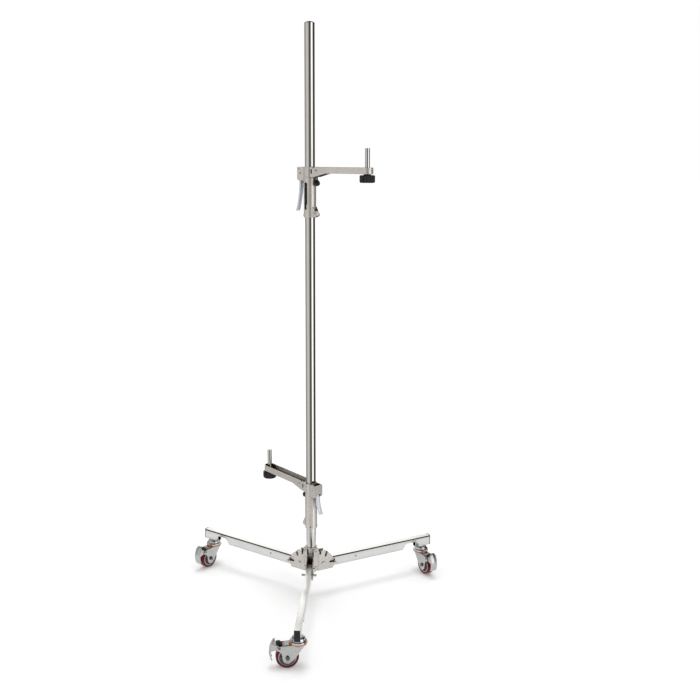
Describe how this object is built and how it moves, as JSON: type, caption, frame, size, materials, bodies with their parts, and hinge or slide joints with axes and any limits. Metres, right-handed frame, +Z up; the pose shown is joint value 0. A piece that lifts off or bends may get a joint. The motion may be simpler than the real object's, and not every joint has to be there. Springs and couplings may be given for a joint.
{
  "type": "roller stand for lights",
  "caption": "Tall steel column on folding legs with swivelling braked casters, carrying arms that slide and turn on the column and end in a light spigot.",
  "frame": {"origin": "the point on the floor on the column's axis", "axes": "+Z up along the column, +X to the right and +Y away from the viewer as in the picture"},
  "size_m": [0.9467, 0.8011, 2.052],
  "materials": {
    "polished_steel": "polished stainless steel tube",
    "satin_steel": "satin nickel-plated steel",
    "bright_chrome": "bright chrome plate",
    "zinc_steel": "bright zinc-plated steel",
    "black_plastic": "fine matte black",
    "orange_plastic": "semi-matte orange",
    "grey_plastic": "matte grey",
    "white_nylon": "matte off-white",
    "tread_red": "dark red polyurethane",
    "dark_bolt": "dark oiled steel",
    "brake_lining": "dark friction lining"
  },
  "bodies": {
    "stand": {"column_tube": "polished_steel", "column_top_plug": "black_plastic", "hub_core": "satin_steel", "hub_bolts": "bright_chrome", "leg_bracket_front": "satin_steel", "leg_bracket_right": "satin_steel", "leg_bracket_left": "satin_steel"},
    "leg_front": {"leg_tube_front": "polished_steel", "leg_end_cap_front": "black_plastic", "caster_head_front": "bright_chrome", "dust_ring_front": "orange_plastic"},
    "pin_front": {"lock_pin_front": "satin_steel"},
    "swivel_front": {"fork_front": "zinc_steel", "axle_front": "dark_bolt"},
    "wheel_front": {"wheel_core_front": "grey_plastic", "tread_front": "tread_red"},
    "pedal_front": {"brake_pedal_front": "zinc_steel", "brake_pad_front": "black_plastic"},
    "leg_right": {"leg_tube_right": "polished_steel", "leg_end_cap_right": "black_plastic", "caster_head_right": "bright_chrome", "dust_ring_right": "orange_plastic"},
    "pin_right": {"lock_pin_right": "satin_steel"},
    "swivel_right": {"fork_right": "zinc_steel", "axle_right": "dark_bolt"},
    "wheel_right": {"wheel_core_right": "grey_plastic", "tread_right": "tread_red"},
    "pedal_right": {"brake_pedal_right": "zinc_steel", "brake_pad_right": "black_plastic"},
    "leg_left": {"leg_tube_left": "polished_steel", "leg_end_cap_left": "black_plastic", "caster_head_left": "bright_chrome", "dust_ring_left": "orange_plastic"},
    "pin_left": {"lock_pin_left": "satin_steel"},
    "swivel_left": {"fork_left": "zinc_steel", "axle_left": "dark_bolt"},
    "wheel_left": {"wheel_core_left": "grey_plastic", "tread_left": "tread_red"},
    "pedal_left": {"brake_pedal_left": "zinc_steel", "brake_pad_left": "black_plastic"},
    "upper_slide": {"upper_guide_bush": "black_plastic"},
    "upper_carriage": {"upper_sleeve": "satin_steel", "upper_arm": "satin_steel", "upper_arm_pins": "bright_chrome", "upper_spigot": "polished_steel"},
    "upper_roller_body": {"upper_roller": "white_nylon"},
    "upper_release_lever_body": {"upper_release_lever": "bright_chrome"},
    "upper_brake_shoe_body": {"upper_brake_shoe": "brake_lining"},
    "upper_ball_knob_body": {"upper_ball_knob": "black_plastic"},
    "upper_clamp_knob_body": {"upper_clamp_knob": "black_plastic"},
    "lower_slide": {"lower_guide_bush": "black_plastic"},
    "lower_carriage": {"lower_sleeve": "satin_steel", "lower_arm": "satin_steel", "lower_arm_pins": "bright_chrome", "lower_spigot": "polished_steel"},
    "lower_roller_body": {"lower_roller": "white_nylon"},
    "lower_release_lever_body": {"lower_release_lever": "bright_chrome"},
    "lower_brake_shoe_body": {"lower_brake_shoe": "brake_lining"},
    "lower_ball_knob_body": {"lower_ball_knob": "black_plastic"},
    "lower_clamp_knob_body": {"lower_clamp_knob": "black_plastic"}
  },
  "joints": [
    {"name": "leg_fold_front", "type": "hinge", "parent": "stand", "child": "leg_front", "pos_m": [-0.00261, -0.04392, 0.1206], "axis": [-0.9982, 0.0593, 0], "range_deg": [0, 72]},
    {"name": "lock_pin_slide_front", "type": "slide", "parent": "leg_front", "child": "pin_front", "axis": [-0.0593, -0.9982, 0], "range_m": [-0.0173, 0]},
    {"name": "caster_swivel_front", "type": "hinge", "parent": "leg_front", "child": "swivel_front", "pos_m": [-0.02811, -0.47317, 0.08], "axis": [0, 0, 1], "continuous": true},
    {"name": "wheel_spin_front", "type": "hinge", "parent": "swivel_front", "child": "wheel_front", "pos_m": [-0.06376, -0.47818, 0.0375], "axis": [0.1392, -0.9903, 0], "continuous": true},
    {"name": "brake_pedal_tilt_front", "type": "hinge", "parent": "swivel_front", "child": "pedal_front", "pos_m": [-0.08951, -0.48179, 0.072], "axis": [0.1392, -0.9903, 0], "range_deg": [0, 10]},
    {"name": "leg_fold_right", "type": "hinge", "parent": "stand", "child": "leg_right", "pos_m": [0.03934, 0.0197, 0.1206], "axis": [0.4478, -0.8942, 0], "range_deg": [0, 72]},
    {"name": "lock_pin_slide_right", "type": "slide", "parent": "leg_right", "child": "pin_right", "axis": [0.8942, 0.4478, 0], "range_m": [-0.0173, 0]},
    {"name": "caster_swivel_right", "type": "hinge", "parent": "leg_right", "child": "swivel_right", "pos_m": [0.42383, 0.21224, 0.08], "axis": [0, 0, 1], "continuous": true},
    {"name": "wheel_spin_right", "type": "hinge", "parent": "swivel_right", "child": "wheel_right", "pos_m": [0.44183, 0.18106, 0.0375], "axis": [0.866, 0.5, 0], "continuous": true},
    {"name": "brake_pedal_tilt_right", "type": "hinge", "parent": "swivel_right", "child": "pedal_right", "pos_m": [0.45483, 0.15854, 0.072], "axis": [0.866, 0.5, 0], "range_deg": [0, 10]},
    {"name": "leg_fold_left", "type": "hinge", "parent": "stand", "child": "leg_left", "pos_m": [-0.03673, 0.02422, 0.1206], "axis": [0.5505, 0.8348, 0], "range_deg": [0, 72]},
    {"name": "lock_pin_slide_left", "type": "slide", "parent": "leg_left", "child": "pin_left", "axis": [-0.8348, 0.5505, 0], "range_m": [-0.0173, 0]},
    {"name": "caster_swivel_left", "type": "hinge", "parent": "leg_left", "child": "swivel_left", "pos_m": [-0.39572, 0.26093, 0.08], "axis": [0, 0, 1], "continuous": true},
    {"name": "wheel_spin_left", "type": "hinge", "parent": "swivel_left", "child": "wheel_left", "pos_m": [-0.41788, 0.23256, 0.0375], "axis": [0.788, -0.6157, 0], "continuous": true},
    {"name": "brake_pedal_tilt_left", "type": "hinge", "parent": "swivel_left", "child": "pedal_left", "pos_m": [-0.43389, 0.21207, 0.072], "axis": [0.788, -0.6157, 0], "range_deg": [0, 10]},
    {"name": "upper_arm_slide", "type": "slide", "parent": "stand", "child": "upper_slide", "axis": [0, 0, 1], "range_m": [-0.9, 0.46]},
    {"name": "upper_arm_turn", "type": "hinge", "parent": "upper_slide", "child": "upper_carriage", "pos_m": [0, 0, 1.482], "axis": [0, 0, 1], "continuous": true},
    {"name": "upper_roller_spin", "type": "hinge", "parent": "upper_carriage", "child": "upper_roller_body", "pos_m": [0.02053, -0.01723, 1.414], "axis": [-0.6428, -0.766, 0], "continuous": true},
    {"name": "upper_lever_pull", "type": "hinge", "parent": "upper_carriage", "child": "upper_release_lever_body", "pos_m": [-0.02298, 0.01928, 1.55], "axis": [-0.6428, -0.766, 0], "range_deg": [0, 10], "stiffness_Nm_per_rad": 0.8, "springref_deg": -14.32},
    {"name": "upper_shoe_release", "type": "slide", "parent": "upper_carriage", "child": "upper_brake_shoe_body", "axis": [-0.766, 0.6428, 0], "range_m": [0, 0.0013]},
    {"name": "upper_ball_pull", "type": "slide", "parent": "upper_carriage", "child": "upper_ball_knob_body", "axis": [0, 0, -1], "range_m": [0, 0.006], "stiffness_N_per_m": 600, "springref_m": -0.004},
    {"name": "upper_clamp_turn", "type": "hinge", "parent": "upper_carriage", "child": "upper_clamp_knob_body", "pos_m": [0.19151, -0.1607, 1.537], "axis": [0, 0, 1], "range_deg": [0, 360]},
    {"name": "lower_arm_slide", "type": "slide", "parent": "stand", "child": "lower_slide", "axis": [0, 0, 1], "range_m": [-0.06, 0.9]},
    {"name": "lower_arm_turn", "type": "hinge", "parent": "lower_slide", "child": "lower_carriage", "pos_m": [0, 0, 0.348], "axis": [0, 0, 1], "continuous": true},
    {"name": "lower_roller_spin", "type": "hinge", "parent": "lower_carriage", "child": "lower_roller_body", "pos_m": [-0.01758, 0.02023, 0.28], "axis": [0.7547, 0.6561, 0], "continuous": true},
    {"name": "lower_lever_pull", "type": "hinge", "parent": "lower_carriage", "child": "lower_release_lever_body", "pos_m": [0.01968, -0.02264, 0.416], "axis": [0.7547, 0.6561, 0], "range_deg": [0, 10], "stiffness_Nm_per_rad": 0.8, "springref_deg": -14.32},
    {"name": "lower_shoe_release", "type": "slide", "parent": "lower_carriage", "child": "lower_brake_shoe_body", "axis": [0.6561, -0.7547, 0], "range_m": [0, 0.0013]},
    {"name": "lower_ball_pull", "type": "slide", "parent": "lower_carriage", "child": "lower_ball_knob_body", "axis": [0, 0, -1], "range_m": [0, 0.006], "stiffness_N_per_m": 600, "springref_m": -0.004},
    {"name": "lower_clamp_turn", "type": "hinge", "parent": "lower_carriage", "child": "lower_clamp_knob_body", "pos_m": [-0.16401, 0.18868, 0.403], "axis": [0, 0, 1], "range_deg": [0, 360]}
  ],
  "couplings": [
    {"joint": "upper_roller_spin", "follows": "upper_arm_slide", "rad_per_m": 111.11},
    {"joint": "upper_shoe_release", "follows": "upper_lever_pull", "m_per_rad": 0.0068},
    {"joint": "lower_roller_spin", "follows": "lower_arm_slide", "rad_per_m": 111.11},
    {"joint": "lower_shoe_release", "follows": "lower_lever_pull", "m_per_rad": 0.0068}
  ]
}
